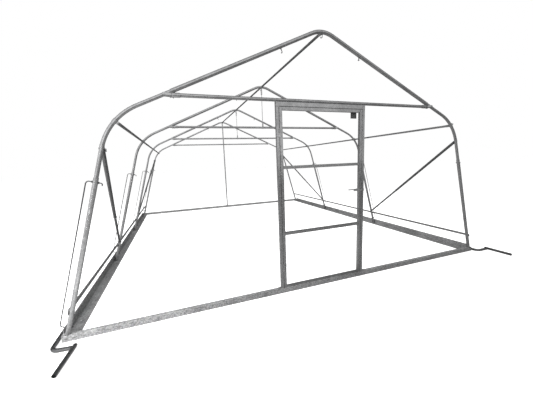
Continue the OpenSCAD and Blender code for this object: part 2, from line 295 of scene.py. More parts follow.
def bolt_head(target, at, way, size=0.008):
    way = Vector(way).normalized()
    disc(target, lay(at, way), size * 1.15, size * 0.2, 14)
    disc(target, lay(at + way * size * 0.2, way), size * 0.95, size * 0.65, 6, chamfer=size * 0.12)


def nut(target, at, way, size=0.008):
    way = Vector(way).normalized()
    disc(target, lay(at, way), size * 1.15, size * 0.2, 14)
    disc(target, lay(at + way * size * 0.2, way), size * 0.95, size * 0.8, 6, chamfer=size * 0.12)
    disc(target, lay(at + way * size, way), size * 0.5, size * 0.6, 10, chamfer=size * 0.1)


def through_bolt(target, at, way, grip, size=0.008):
    """Head on one side of a tube and nut on the other."""
    way = Vector(way).normalized()
    bolt_head(target, at + way * grip, way, size)
    nut(target, at - way * grip, -way, size)


print("bolts ready")

# %% [markdown]
# ## Joints of the hoops
# The eave bends plug into the legs, and the ridge bends sleeve over the eave
# bends. The open end of each outer tube shows as a thin lip with a dark groove
# inside, and one bolt through both tubes closes the joint. The lip is a spun
# ring, because a bevel on the tube's end would have no groove.

# %% Lips and bolts where tube meets tube
WALL = 0.0016  # of the outer tube
LIP = 0.0015  # how far the lip's middle stands off the joint
BOLT_IN = 0.04  # from the open end to the bolt
lips = bmesh.new()
joint_bolts = bmesh.new()
for side in SIDES:
    for y in HOOPS:
        leg_lip = on_leg(side, leg_top, 0, y) + leg_way(side) * LIP
        collar(lips, lay(leg_lip, leg_way(side)), leg_r - WALL, leg_r, 0.005)
        through_bolt(joint_bolts, on_leg(side, leg_top - BOLT_IN, 0, y), -ALONG, leg_r)
        roof_lip = on_roof(side, splice, 0, y) + roof_way(side) * LIP
        collar(lips, lay(roof_lip, roof_way(side)), ridge_r - WALL, ridge_r, 0.005)
        through_bolt(joint_bolts, on_roof(side, splice - BOLT_IN, 0, y), -ALONG, ridge_r)
finish_set("tube_lips", lips, "frame", "galvanised_tube")
finish_set("hoop_joint_bolts", joint_bolts, "frame", "bright_zinc")

# %% [markdown]
# ## Clamps at the ends of the tie bars
# A tie bar doesn't touch the roof tube: a light pressed clamp is pushed on its
# end, runs out flat and is bolted beside the roof tube. The body of the clamp
# is a row of rings that change from round to flat, with two fingers beyond it.

# %% Tie clamps
QUARTER = math.pi / 2
CLAMP_RINGS = (  # way along the tie, width, height: round at first, then flat
    (-0.055, 0.036, 0.036), (-0.055, 0.042, 0.042), (-0.012, 0.042, 0.042),
    (0.006, 0.044, 0.034), (0.024, 0.048, 0.02), (0.034, 0.05, 0.012),
)
FINGER_RISE = 0.004
tie_r = half_width("tie_bar_2")
clamps = bmesh.new()
clamp_bolts = bmesh.new()
for n, y in enumerate(HOOPS, 1):
    tie_z = middle(f"tie_bar_{n}").z
    roof_x = (apex_z - tie_z) / math.tan(PITCH)
    for side in SIDES:
        end = Vector((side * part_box(f"tie_bar_{n}")[1].x, y, tie_z))
        way = Vector((side, 0, 0))
        ringed(clamps, [(lay(end + way * shift, way, QUARTER), width, height)
                        for shift, width, height in CLAMP_RINGS], 20)
        for finger in (-1, 1):
            aside = Vector((0, finger * 0.014, 0))
            start = end + way * 0.02
            tip = Vector((side * (roof_x - 0.012), y + finger * (eave_r + 0.004), tie_z + FINGER_RISE))
            ringed(clamps, [
                (lay(start + aside, way, QUARTER), 0.03, 0.006),
                (lay(start.lerp(tip, 0.5) + aside * 0.5, way, QUARTER), 0.032, 0.006),
                (lay(tip, way, QUARTER), 0.032, 0.005),
                (lay(tip + way * 0.02, way, QUARTER), 0.02, 0.005)], 12)
        bolt_at = Vector((side * (roof_x - 0.005), y, tie_z + FINGER_RISE))
        through_bolt(clamp_bolts, bolt_at, -ALONG, eave_r + 0.007)
        through_bolt(clamp_bolts, end - way * 0.03, -ALONG, tie_r + 0.003, 0.006)
finish_set("tie_clamps", clamps, "frame", "bright_zinc")
finish_set("tie_clamp_bolts", clamp_bolts, "frame", "bright_zinc")

# %% [markdown]
# ## Film hooks under the roof tubes
# Short hooked rods hang through the roof tubes, to carry strings and the film's
# edge. Each one is a rod that comes straight out of the tube and curls, with a
# nut against the tube. One path of places with one turn makes the whole rod.

# %% Film hooks
HOOK_WIDTH = 0.008
HOOK_DOWNS = (0.53, 1.7)  # from the apex, down the roof line
HOOK_STEPS = [0.026, (0.012, 120), 0.006]
hooks = bmesh.new()
for y in HOOPS:
    starts = [(Vector((0, y, ridge_z - ridge_r)), -UP)]
    for side in SIDES:
        inward = Vector((-side * math.sin(PITCH), 0, -math.cos(PITCH)))
        for down in HOOK_DOWNS:
            radius = ridge_r if down < splice else eave_r
            starts.append((on_roof(side, down, -radius, y), inward))
    for start, way in starts:
        nut(hooks, start, way, HOOK_WIDTH)
        rod(hooks, HOOK_WIDTH, rod_way(lay(start, way), HOOK_STEPS))
finish_set("film_hooks", hooks, "frame", "galvanised_tube")

# %% [markdown]
# ## Ends of the purlins
# Each purlin is cut between two hoops. Its ends sit in short sockets on a strap around the hoop tube. At
# the ridge the strap would stand above the tube, where it would wear the film, so there the sockets have
# no strap and their bolt heads point down.

# %% Purlin sockets and straps
EAVE_SLOPE = math.radians(42)  # of the eave bend where its purlin sits, from upright
SOCKET = 0.042  # length of a socket
ridge_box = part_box("ridge_purlin")
purlin_r = (ridge_box[1].x - ridge_box[0].x) / 2
eave_purlin = {-1: middle("eave_purlin_left"), 1: middle("eave_purlin_right")}
sockets = bmesh.new()
socket_bolts = bmesh.new()


def inside_tunnel(y):
    """True where a purlin or rail section lies, false beyond the end hoops."""
    return HOOPS[0] - 0.01 < y < HOOPS[-1] + 0.01


def purlin_socket(at, bolt_way):
    """Sleeve round a purlin's end, with one bolt head."""
    collar(sockets, lay(at, ALONG), purlin_r - 0.0005, purlin_r + 0.0022, SOCKET)
    bolt_head(socket_bolts, at + bolt_way * (purlin_r + 0.002), bolt_way, 0.006)


for y in HOOPS:
    for direction in (-1, 1):
        if not inside_tunnel(y + direction * 0.1):
            continue
        purlin_socket(Vector((0, y + direction * (ridge_r + 0.022), ridge_z)), -UP)
        for side, spot in eave_purlin.items():
            at = Vector((spot.x, y + direction * (eave_r + 0.024), spot.z))
            purlin_socket(at, Vector((-side, 0, -1)).normalized())
    for side, spot in eave_purlin.items():
        tangent = Vector((side * math.sin(EAVE_SLOPE), 0, -math.cos(EAVE_SLOPE)))
        hub = Vector((spot.x, y, spot.z))
        collar(sockets, lay(hub, tangent), eave_r - 0.0004, eave_r + 0.0026, 0.034)
        beside = tangent.cross(ALONG).normalized()
        plate(sockets, lay(hub + beside * (eave_r + 0.009), tangent), (0.004, 0.02, 0.03))
        through_bolt(socket_bolts, hub + beside * (eave_r + 0.011), ALONG, 0.011, 0.006)
finish_set("purlin_sockets", sockets, "frame", "galvanised_tube")
finish_set("purlin_bolts", socket_bolts, "frame", "bright_zinc")

# %% [markdown]
# ## Ends of the braces
# The braces are telescopic: a thin tube slides in a thicker one, and one bolt
# locks it at its length. At both ends a clamp goes round the hoop tube, and its
# ear lies on the end of the brace. The clamp is a spun collar and the ear a
# bevelled plate.

# %% Brace clamps and the sliding joint
BRACE_SLEEVE = 0.6  # share of the brace that the thick tube covers
BRACE_TOP, BRACE_FOOT = 1.660, 0.290  # heights of its two ends
EAR_OFF = 0.0185  # from the brace's axis to the middle of an ear
brace_fittings = bmesh.new()
brace_bolts = bmesh.new()
for side in SIDES:
    for top_y, foot_y in ((HOOPS[0], HOOPS[1]), (HOOPS[3], HOOPS[2])):
        top = on_leg(side, BRACE_TOP / math.cos(LEAN), 0, top_y)
        foot = on_leg(side, BRACE_FOOT / math.cos(LEAN), 0, foot_y)
        way = (foot - top).normalized()
        for hub, radius, to_brace in ((top, eave_r, way), (foot, leg_r, -way)):
            collar(brace_fittings, lay(hub, leg_way(side)), radius - 0.0004, radius + 0.0018, 0.026)
            ear = hub + to_brace * (radius + 0.03)
            for face in (-1, 1):
                ear_place = lay(ear + leg_out(side) * face * EAR_OFF, to_brace)
                plate(brace_fittings, ear_place, (0.022, 0.002, 0.045))
            through_bolt(brace_bolts, ear + to_brace * 0.006, leg_out(side), EAR_OFF + 0.001, 0.0045)
        joint = top.lerp(foot, BRACE_SLEEVE)
        rim = joint - way * 0.008
        collar(brace_fittings, lay(rim, way), 0.0176, 0.0196, 0.024)
        bolt_head(brace_bolts, joint - way * 0.03 - leg_out(side) * 0.0178, -leg_out(side), 0.008)
        bolt_head(brace_bolts, rim - ALONG * 0.0194, -ALONG, 0.007)
finish_set("brace_clamps", brace_fittings, "frame", "galvanised_tube")
finish_set("brace_bolts", brace_bolts, "frame", "bright_zinc")

# %% [markdown]
# ## Pressed shoulders of the side rails
# The lower side rails run outside the legs. Where one crosses a leg it is
# pressed flat and bolted. The frame model has the flat and the round lengths,
# and the shoulder between them is lofted here, ring by ring from round to flat.

# %% Rail shoulders and rail bolts
RAIL_HEIGHT = 0.256
RAIL_OUT = leg_r + 0.008  # from the leg's axis to the rail's axis
RAIL_R = 0.016
RAIL_FLAT = 0.035  # half the length between two round ends
FLAT_THICK, FLAT_WIDE = 0.005, 0.038  # the rail where it is pressed
rail_up = (RAIL_HEIGHT - RAIL_OUT * math.sin(LEAN)) / math.cos(LEAN)
shoulders = bmesh.new()
rail_bolts = bmesh.new()


def across_leg(side, at):
    """Place whose X points out of the leg, Y up the leg and Z along the tunnel."""
    axes = Matrix((leg_out(side), leg_way(side), leg_out(side).cross(leg_way(side))))
    return Matrix.Translation(at) @ axes.transposed().to_4x4()


for side in SIDES:
    for y in HOOPS:
        bolt_at = on_leg(side, rail_up, 0.0025, y)
        through_bolt(rail_bolts, bolt_at, leg_out(side), leg_r + 0.003, 0.007)
        for direction in (-1, 1):
            if not inside_tunnel(y + direction * 0.1):
                continue
            rings = []
            for t in (0.0, 0.25, 0.5, 0.75, 1.0):
                ease = t * t * (3 - 2 * t)
                out = (leg_r + 0.0028) * (1 - ease) + RAIL_OUT * ease
                shift = direction * (0.012 + (RAIL_FLAT - 0.0115) * t)
                thick = FLAT_THICK + (2 * RAIL_R - FLAT_THICK) * ease
                wide = FLAT_WIDE + (2 * RAIL_R - FLAT_WIDE) * ease
                rings.append((across_leg(side, on_leg(side, rail_up, out, y + shift)), thick, wide))
            ringed(shoulders, rings, 20)
finish_set("rail_shoulders", shoulders, "frame", "galvanised_tube")
finish_set("rail_bolts", rail_bolts, "frame", "bright_zinc")

# %% [markdown]
# ## Feet of the hoops
# The legs of both gables are welded on the sills, and the middle legs are
# bolted to the side angles through a cleat. A weld is a ring of small drops:
# a spun ring is too even, so the bead is a rod that swells and thins along
# the ellipse where the leaning tube meets the flat sill.

# %% Foot welds
FLANGE = 0.003  # thickness of the side angle's flange
WELD_DROPS = 20
sill_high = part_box("front_sill")[1]
SILL_TOP = sill_high.z
angle_low, angle_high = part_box("base_angle_right")
welds = bmesh.new()
for side in SIDES:
    for y in HOOPS:
        floor_z = SILL_TOP if y in (HOOPS[0], HOOPS[-1]) else angle_low.z + FLANGE
        centre = on_leg(side, floor_z / math.cos(LEAN), 0, y)
        radius = leg_r + 0.001
        rings = []
        for k in range(2 * WELD_DROPS):
            around = math.pi * k / WELD_DROPS
            x_off = math.cos(around) * radius / math.cos(LEAN)
            at = centre + Vector((x_off, math.sin(around) * radius, 0.001))
            way = Vector((-math.sin(around), math.cos(around), 0))
            swell = 0.0055 if k % 2 else 0.004
            rings.append((lay(at, way), swell, swell))
        ringed(welds, rings, 6)
finish_set("foot_welds", welds, "frame", "dull_zinc")

# %% Cleats on the side angles and caps on the sills
CLEAT_Z = 0.045  # height of the cleats' middle
CAP_X = sill_high.x + 0.001
PATCH_X = sill_high.x - 0.06
CORNER_X = angle_high.x - 0.03
half_sill = SILL_TOP / 2
cleats = bmesh.new()
cleat_bolts = bmesh.new()
for side in SIDES:
    web = side * angle_high.x
    for y in HOOPS[1:3]:
        for direction in (-1, 1):
            at = Vector((web - side * 0.005, y + direction * 0.045, CLEAT_Z))
            plate(cleats, Matrix.Translation(at), (0.004, 0.05, 0.06))
            bolt_head(cleat_bolts, at - Vector((side * 0.002, 0, 0)), (-side, 0, 0), 0.008)
        plate(cleats, Matrix.Translation((web - side * 0.03, y + 0.024, CLEAT_Z)), (0.05, 0.004, 0.06))
    for y, outward in ((HOOPS[0], -1), (HOOPS[-1], 1)):
        cap_at, cap_size = (side * CAP_X, y, half_sill), (0.003, 0.038, SILL_TOP - 0.004)
        plate(cleats, Matrix.Translation(cap_at), cap_size, 0.0012)
        patch_at = (side * PATCH_X, y + outward * 0.0212, half_sill)
        plate(cleats, Matrix.Translation(patch_at), (0.1, 0.003, SILL_TOP - 0.008), 0.001)
        for step in (0.03, 0.09):
            bolt_at = Vector((side * (sill_high.x - step), y + outward * 0.0225, half_sill))
            bolt_head(cleat_bolts, bolt_at, (0, outward, 0), 0.007)
        inner = y - outward * 0.02
        corner_at = (side * CORNER_X, inner - outward * 0.0025, 0.032)
        plate(cleats, Matrix.Translation(corner_at), (0.05, 0.004, 0.052))
        bolt_at = Vector((side * CORNER_X, inner - outward * 0.0045, 0.035))
        bolt_head(cleat_bolts, bolt_at, (0, -outward, 0), 0.007)
finish_set("corner_cleats", cleats, "frame", "spangled_zinc")
finish_set("cleat_bolts", cleat_bolts, "frame", "bright_zinc")

# %% [markdown]
# ## Rod ends of the guide loops
# Each long loop beside a leg is one bent rod. Both of its ends pass through the
# leg and are held by nuts, and the upper end curls down on the inner side. The
# nuts are the same as on the bolts, and the curl is one more rod.

# %% Guide loop nuts and curls
LOOP_UPS = (0.127, 1.415)  # both rod ends, up the leg
CURL_WIDTH = 0.0096
LOOP_NUT = 0.0095
BARE_LEGS = ((1, HOOPS[0]), (1, HOOPS[3]))  # legs without a loop
loop_fittings = bmesh.new()
for side in SIDES:
    for y in HOOPS:
        if (side, y) in BARE_LEGS:
            continue
        for up in LOOP_UPS:
            nut(loop_fittings, on_leg(side, up, leg_r, y), leg_out(side), LOOP_NUT)
            nut(loop_fittings, on_leg(side, up, -leg_r, y), -leg_out(side), LOOP_NUT)
        tip = on_leg(side, LOOP_UPS[1], -leg_r - 0.021, y)
        sideways = leg_out(side).cross(leg_way(side))
        axes = Matrix((-leg_way(side), sideways, -leg_out(side))).transposed().to_4x4()
        start = Matrix.Translation(tip) @ axes
        rod(loop_fittings, CURL_WIDTH, rod_way(start, [(0.012, 100), 0.006]))
finish_set("loop_nuts", loop_fittings, "frame", "bright_zinc")

# %% [markdown]
# ## Hangers, rear post and their straps
# A thin hanger joins ridge and tie at the two inner hoops, and a post stands in
# the rear gable. Each is held by a strap round the tie bar, and the post stands
# on a small flange with two screws. The straps are collars across the tie.

# %% Straps and post flange
POST_DROPS = 24
straps = bmesh.new()
strap_bolts = bmesh.new()
post_r = half_width("rear_post")
for n, y in enumerate(HOOPS[1:], 2):
    at = Vector((0, y, middle(f"tie_bar_{n}").z))
    collar(straps, lay(at, (1, 0, 0)), tie_r - 0.0004, tie_r + 0.0024, 0.03)
    through_bolt(strap_bolts, at, -ALONG, tie_r + 0.002, 0.007)
rear = Vector((0, HOOPS[-1], SILL_TOP))
plate(straps, Matrix.Translation(rear + UP * 0.002), (0.11, 0.036, 0.004), 0.001)
for side in SIDES:
    bolt_head(strap_bolts, rear + Vector((side * 0.04, 0, 0.004)), UP, 0.007)
for step in range(POST_DROPS):
    around = 2 * math.pi * step / POST_DROPS
    at = rear + Vector((math.cos(around) * post_r, math.sin(around) * post_r, 0.0045))
    disc(straps, lay(at), 0.003, 0.002, 6)
finish_set("tie_straps", straps, "frame", "galvanised_tube")
finish_set("strap_bolts", strap_bolts, "frame", "bright_zinc")

# %% [markdown]
# ## Fixings of the door frame
# The posts stand on the sill with a plate at each foot, and at the top a plate
# joins post, header and tie bar. Screws on the plates catch the light. All lie
# on the front faces and leave the leaf free to turn.

# %% Post plates
post_low, post_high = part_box("door_post_right")
front_y = post_low.y
post_x = (post_low.x + post_high.x) / 2
post_plates = bmesh.new()
post_screws = bmesh.new()
for side in SIDES:
    x = side * post_x
    for height, length in ((post_high.z - 0.026, 0.05), (SILL_TOP + 0.03, 0.056)):
        plate(post_plates, Matrix.Translation((x, front_y - 0.001, height)), (0.03, 0.002, length), 0.0007)
    foot_plate = Vector((x + side * 0.036, 0, SILL_TOP + 0.002))
    plate(post_plates, Matrix.Translation(foot_plate), (0.04, 0.03, 0.004), 0.0008)
    bolt_head(post_screws, foot_plate + Vector((side * 0.004, 0, 0.002)), UP, 0.007)
    for drop in (0.012, 0.038):
        bolt_head(post_screws, Vector((x, front_y - 0.002, post_high.z - drop)), -ALONG, 0.007)
    for rise in (0.016, 0.046):
        bolt_head(post_screws, Vector((x, front_y - 0.002, SILL_TOP + rise)), -ALONG, 0.006)
stop_low, stop_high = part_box("door_stop")
for shift in (0.02, 0.06):
    stop_at = Vector((stop_low.x + shift, stop_high.y, stop_high.z - 0.02))
    bolt_head(post_screws, stop_at, ALONG, 0.006)
finish_set("post_plates", post_plates, "frame", "bright_zinc")
finish_set("post_screws", post_screws, "frame", "bright_zinc")

# %% [markdown]
# ## The door leaf
# The leaf is welded from square tube, so each corner where a rail meets a stile
# has a bead on the front and on the back. The hinge plates have two screws
# each, and the halves ride on different bodies: post side and leaf side.

# %% Leaf welds
LEAF_RAILS = (1.409, 0.685)  # heights of the two middle rails
leaf_welds = bmesh.new()
stile_low, stile_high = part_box("door_hinge_stile")
seam_x = abs(stile_high.x)
door_tube = stile_high.x - stile_low.x
half_seam = door_tube * 0.44
for height in (stile_high.z - door_tube / 2, *LEAF_RAILS):
    for side in SIDES:
        for face in (-1, 1):
            x, y = side * seam_x, face * (door_tube / 2 + 0.0002)
            bead(leaf_welds, (x, y, height - half_seam), (x, y, height + half_seam))
finish_set("leaf_welds", leaf_welds, "door_leaf", "dull_zinc")

# %% Hinge screws
HINGE_HEIGHTS = (0.300, 1.765)
leaf_screws = bmesh.new()
hinge_screws = bmesh.new()
leaf_screw_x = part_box("door_hinges")[1].x - 0.009
post_screw_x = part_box("post_hinges")[0].x + 0.008
leaf_face = stile_low.y - 0.003
for height in HINGE_HEIGHTS:
    for rise in (0.012, 0.034):
        bolt_head(leaf_screws, Vector((leaf_screw_x, leaf_face, height + rise)), -ALONG, 0.0045)
        bolt_head(hinge_screws, Vector((post_screw_x, leaf_face, height - rise)), -ALONG, 0.0045)
finish_set("leaf_hinge_screws", leaf_screws, "door_leaf", "bright_zinc")
finish_set("post_hinge_screws", hinge_screws, "frame", "bright_zinc")

# %% [markdown]
# ## Lock and lever
# The lever is a plain bent bar on a round rose, the same inside and outside.
# Its free end gets a rounded cap, and a ring marks where it leaves the hub. The
# plates under it carry a key cylinder and two screws.

# %% Lever caps, key cylinder and plate screws
BAR_R = 0.006
KEY_DROP = 0.022  # from the lever's axis down to the key
SCREW_RISE = 0.02475  # from the lever's axis up and down to a plate screw
DOME = [(0.0, -0.0065), (BAR_R * 0.6, -0.0055), (BAR_R * 1.12, -0.002), (BAR_R * 1.12, 0.005),
        (BAR_R * 0.9, 0.007), (0.0, 0.007)]
CYLINDER = [(0.0, 0.0), (0.0085, 0.0), (0.0085, 0.005), (0.007, 0.0065), (0.003, 0.0065), (0.0, 0.005)]
lever_low, lever_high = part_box("door_lever")
plate_low, plate_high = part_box("lock_plates")
lever_axis = (plate_low.x + plate_high.x) / 2
lever_z = (plate_low.z + plate_high.z) / 2
lever_caps = bmesh.new()
lock_parts = bmesh.new()
for face in (-1, 1):
    bar_y = face * (lever_high.y - BAR_R)
    plate_y = face * plate_high.y
    spun(lever_caps, DOME, lay(Vector((lever_low.x + 0.0065, bar_y, lever_z)), (1, 0, 0)), 16)
    ring_at = lay(Vector((lever_axis - 0.02, bar_y, lever_z)), (1, 0, 0))
    collar(lever_caps, ring_at, BAR_R - 0.0002, BAR_R + 0.0022, 0.012)
    spun(lock_parts, CYLINDER, lay(Vector((lever_axis, plate_y, lever_z - KEY_DROP)), (0, face, 0)), 18)
    for rise in (-SCREW_RISE, SCREW_RISE):
        screw_at = Vector((lever_axis + 0.009, plate_y, lever_z + rise))
        bolt_head(lock_parts, screw_at, (0, face, 0), 0.003)
finish_set("lever_caps", lever_caps, "lever", "bright_zinc")
finish_set("lock_parts", lock_parts, "door_leaf", "bright_zinc")

# %% Strike screws
strike_low, strike_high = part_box("strike_plate")
strike_x = (strike_low.x + strike_high.x) / 2
strike = bmesh.new()
for rise in (-0.008, 0.008):
    bolt_head(strike, Vector((strike_x, strike_low.y, lever_z + rise)), -ALONG, 0.0035)
finish_set("strike_screws", strike, "frame", "bright_zinc")

# %% [markdown]
# ## Roll-up tubes and cranks
# Film is wound on the long tubes by their cranks. The handle is a second tube
# welded across the arm, with a cap at its rear end, and the long tube is made
# of lengths that are screwed together. The caps are spun, and the weld is a
# closed row of small drops that follows the saddle where both tubes meet.

# %% Crank caps, welds and screws
ROLL_R = 0.017
ROLL_OUT = 0.065  # from the leg's foot out to the tube's axis
CRANK_BEND = 0.060
HANDLE_BACK = 0.032
CRANK_DROPS = 16
SEAM_HIGH = 0.85  # of the tube's radius, how far the weld reaches up and down
SEAM_DEEP = 0.9  # of the full saddle's depth
CRANKS = (  # side, node, turn of the bend, distance in front of the hoop, length of the arm
    (-1, "roll_tube_left", 85, 0.140, 0.170),
    (1, "roll_tube_right", 90, 0.085, 0.225),
)
HANDLE_CAP = [(0.0, -0.004), (ROLL_R - 0.003, -0.004), (ROLL_R, -0.001), (ROLL_R, 0.012),
              (ROLL_R - 0.0005, 0.012), (0.0, 0.012)]
TUBE_CAP = [(0.0, 0.0), (ROLL_R - 0.004, 0.0), (ROLL_R - 0.001, -0.002), (ROLL_R, -0.004),
            (ROLL_R, -0.014), (0.0, -0.014)]
roll_fittings = bmesh.new()
roll_screws = bmesh.new()
for side, node, turn, front, arm in CRANKS:
    tube_x = side * (foot_x + ROLL_OUT)
    crank = (Matrix.Translation((tube_x + CRANK_BEND, CRANK_BEND - front, ROLL_R))
             @ Matrix.Rotation(math.pi + math.radians(turn), 4, "Z"))
    handle_way = crank.to_3x3() @ Vector((1, 0, 0))
    arm_way = crank.to_3x3() @ Vector((0, 1, 0))
    rear_end = crank @ Vector((CRANK_BEND - HANDLE_BACK, arm - CRANK_BEND, 0))
    spun(roll_fittings, HANDLE_CAP, lay(rear_end - handle_way * 0.0005, handle_way), 24)
    joint = crank @ Vector((CRANK_BEND, arm - CRANK_BEND - ROLL_R, 0))
    rings = []
    for k in range(2 * CRANK_DROPS):
        around = math.pi * k / CRANK_DROPS
        rise = UP * math.sin(around) * ROLL_R * SEAM_HIGH
        across = handle_way * math.cos(around) * ROLL_R
        saddle = arm_way * (ROLL_R - math.sqrt(ROLL_R ** 2 - rise.length ** 2)) * SEAM_DEEP
        nipped = k % CRANK_DROPS == CRANK_DROPS // 2  # the seam's top and bottom
        way = -arm_way if nipped else arm_way.cross(rise + across)
        swell = 0.0042 if k % 2 else 0.003
        rings.append((lay(joint + rise + across + saddle, way), swell, swell))
    ringed(roll_fittings, rings, 6)
    spun(roll_fittings, TUBE_CAP, lay(Vector((tube_x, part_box(node)[1].y, ROLL_R)), ALONG), 24)
    for y in (1.0, 3.0, 5.0):
        for shift in (-0.03, 0.03):
            bolt_head(roll_screws, Vector((tube_x, y + shift, 2 * ROLL_R - 0.0005)), UP, 0.0045)
finish_set("roll_fittings", roll_fittings, "frame", "galvanised_tube")
finish_set("roll_screws", roll_screws, "frame", "bright_zinc")

# %% [markdown]
# ## Softened edges on the square tubes
# Drawn square tube has small round corners, and they are what catches a thin
# line of light along a sill or a stile. The frame's meshes stay as they are, so
# the corners come from modifiers: Weld joins the loose triangles and Bevel
# rounds the edges by about two millimetres.

# %% Weld and bevel the square tubes
CORNERS = {  # width of the soft corner on each square tube
    "front_sill": 0.0025, "rear_sill": 0.0025, "door_post_left": 0.0018,
    "door_post_right": 0.0018, "door_header": 0.0018, "door_hinge_stile": 0.0018,
}
for name, width in CORNERS.items():
    node = frame["nodes"][name]
    weld = node.modifiers.new("join", "WELD")
    weld.merge_threshold = 1e-5
    soften = node.modifiers.new("corners", "BEVEL")
    soften.width = width
    soften.segments = 2
    soften.limit_method = "ANGLE"
    soften.angle_limit = math.radians(40)
print(len(CORNERS), "square tubes softened")

# %% [markdown]
# ## Zinc, once for all finishes
# Hot-dip zinc freezes in crystals, which show as patches that are each a bit
# lighter or darker and a bit more or less glossy. Two scales of Voronoi cells,
# bent by noise, give their feathered shapes. This is a node group, because
# five finishes use it with other sizes and strengths.

# %% A helper for node groups


def new_group(name, inputs, outputs):
    """Empty node group with named number sockets."""
    group = bpy.data.node_groups.new(name, "ShaderNodeTree")
    for label, value in inputs.items():
        socket = group.interface.new_socket(label, in_out="INPUT", socket_type="NodeSocketFloat")
        socket.default_value = value
    for label in outputs:
        group.interface.new_socket(label, in_out="OUTPUT", socket_type="NodeSocketFloat")
    entry = group.nodes.new("NodeGroupInput")
    leave = group.nodes.new("NodeGroupOutput")
    return group, entry, leave


def math_node(tree, operation, first, second):
    """Math node; each side is a socket or a number."""
    node = tree.nodes.new("ShaderNodeMath")
    node.operation = operation
    for socket, value in zip(node.inputs, (first, second)):
        if isinstance(value, (int, float)):
            socket.default_value = value
        else:
            tree.links.new(value, socket)
    return node.outputs[0]


def spread(tree, value, low, high, to_low, to_high, steps="SMOOTHSTEP"):
    """Map Range node, with a smooth step unless told otherwise."""
    node = tree.nodes.new("ShaderNodeMapRange")
    node.interpolation_type = steps
    tree.links.new(value, node.inputs["Value"])
    ends = {"From Min": low, "From Max": high, "To Min": to_low, "To Max": to_high}
    for label, number in ends.items():
        if isinstance(number, (int, float)):
            node.inputs[label].default_value = number
        else:
            tree.links.new(number, node.inputs[label])
    return node.outputs["Result"]


def noise(tree, place, scale, detail=4.0, rough=0.55):
    node = tree.nodes.new("ShaderNodeTexNoise")
    tree.links.new(place, node.inputs["Vector"])
    node.inputs["Scale"].default_value = scale
    node.inputs["Detail"].default_value = detail
    node.inputs["Roughness"].default_value = rough
    return node.outputs


print("node helpers ready")

# %% The crystal group
BEND_BY = 0.012  # metres that the noise shifts a crystal's rim
FINE_SHARE = 3.1  # the small crystals' scale against the large ones'
LARGE_WEIGHT = 0.65  # of the large crystals in the tone
spangle, entry, leave = new_group("zinc_crystals", {"Scale": 60.0, "Contrast": 0.2},
                                  ("Tone", "Gloss", "Relief"))
place = spangle.nodes.new("ShaderNodeTexCoord").outputs["Object"]
bent = spangle.nodes.new("ShaderNodeVectorMath")
bent.operation = "MULTIPLY_ADD"
spangle.links.new(noise(spangle, place, 45.0)["Color"], bent.inputs[0])
bent.inputs[1].default_value = (BEND_BY, BEND_BY, BEND_BY)
spangle.links.new(place, bent.inputs[2])
cells = []
for share in (1.0, FINE_SHARE):
    cell = spangle.nodes.new("ShaderNodeTexVoronoi")
    spangle.links.new(bent.outputs[0], cell.inputs["Vector"])
    spangle.links.new(math_node(spangle, "MULTIPLY", entry.outputs["Scale"], share), cell.inputs["Scale"])
    parts = spangle.nodes.new("ShaderNodeSeparateColor")
    spangle.links.new(cell.outputs["Color"], parts.inputs[0])
    cells.append((cell, parts))
(large, large_parts), (_, small_parts) = cells
by_large = math_node(spangle, "MULTIPLY", large_parts.outputs[0], LARGE_WEIGHT)
by_small = math_node(spangle, "MULTIPLY", small_parts.outputs[0], 1 - LARGE_WEIGHT)
mixed = math_node(spangle, "ADD", by_large, by_small)
swing = math_node(spangle, "MULTIPLY", math_node(spangle, "SUBTRACT", mixed, 0.5),
                  entry.outputs["Contrast"])
spangle.links.new(math_node(spangle, "ADD", swing, 1.0), leave.inputs["Tone"])
spangle.links.new(math_node(spangle, "SUBTRACT", large_parts.outputs[1], 0.5), leave.inputs["Gloss"])
spangle.links.new(large.outputs["Distance"], leave.inputs["Relief"])
print("zinc_crystals:", len(spangle.nodes), "nodes")

# %% [markdown]
# ## Weather and splashes
# Outdoor zinc turns dull in clouds, carries pale bloom where water sat, and is
# dirty for a hand's width above the ground, where rain splashes soil on it. The
# height mask reads the object's own Z, since every piece lies in one frame.

# %% The weather group
SPLASH_TOP = 0.14  # metres above the ground
GRAIN = 0.12  # strength of the finest spots
weather, entry, leave = new_group("weather", {"Clouds": 0.25, "Bloom": 0.2, "Splash": 0.3},
                                  ("Tone", "Rough"))
place = weather.nodes.new("ShaderNodeTexCoord").outputs["Object"]
clouds = spread(weather, noise(weather, place, 3.2, 5.0)["Fac"], 0.35, 0.68, 0.0, 1.0)
grain = noise(weather, place, 160.0, 3.0, 0.6)["Fac"]
bloom = spread(weather, noise(weather, place, 26.0, 6.0, 0.65)["Fac"], 0.58, 0.72, 0.0, 1.0)
height = weather.nodes.new("ShaderNodeSeparateXYZ")
weather.links.new(place, height.inputs[0])
wobble = math_node(weather, "MULTIPLY", noise(weather, place, 14.0, 5.0)["Fac"], 0.12)
uneven = math_node(weather, "SUBTRACT", height.outputs["Z"], wobble)
splash = spread(weather, uneven, 0.0, SPLASH_TOP, 1.0, 0.0)
dark = math_node(weather, "MULTIPLY", clouds, entry.outputs["Clouds"])
pale = math_node(weather, "MULTIPLY", bloom, entry.outputs["Bloom"])
soil = math_node(weather, "MULTIPLY", splash, entry.outputs["Splash"])
tone = math_node(weather, "ADD", math_node(weather, "SUBTRACT", 1.0, dark), pale)
tone = math_node(weather, "SUBTRACT", tone, soil)
spots = math_node(weather, "MULTIPLY", math_node(weather, "SUBTRACT", grain, 0.5), GRAIN)
weather.links.new(math_node(weather, "ADD", tone, spots), leave.inputs["Tone"])
rougher = math_node(weather, "ADD", math_node(weather, "MULTIPLY", bloom, 0.15),
                    math_node(weather, "MULTIPLY", splash, 0.2))
rougher = math_node(weather, "ADD", math_node(weather, "MULTIPLY", clouds, 0.10), rougher)
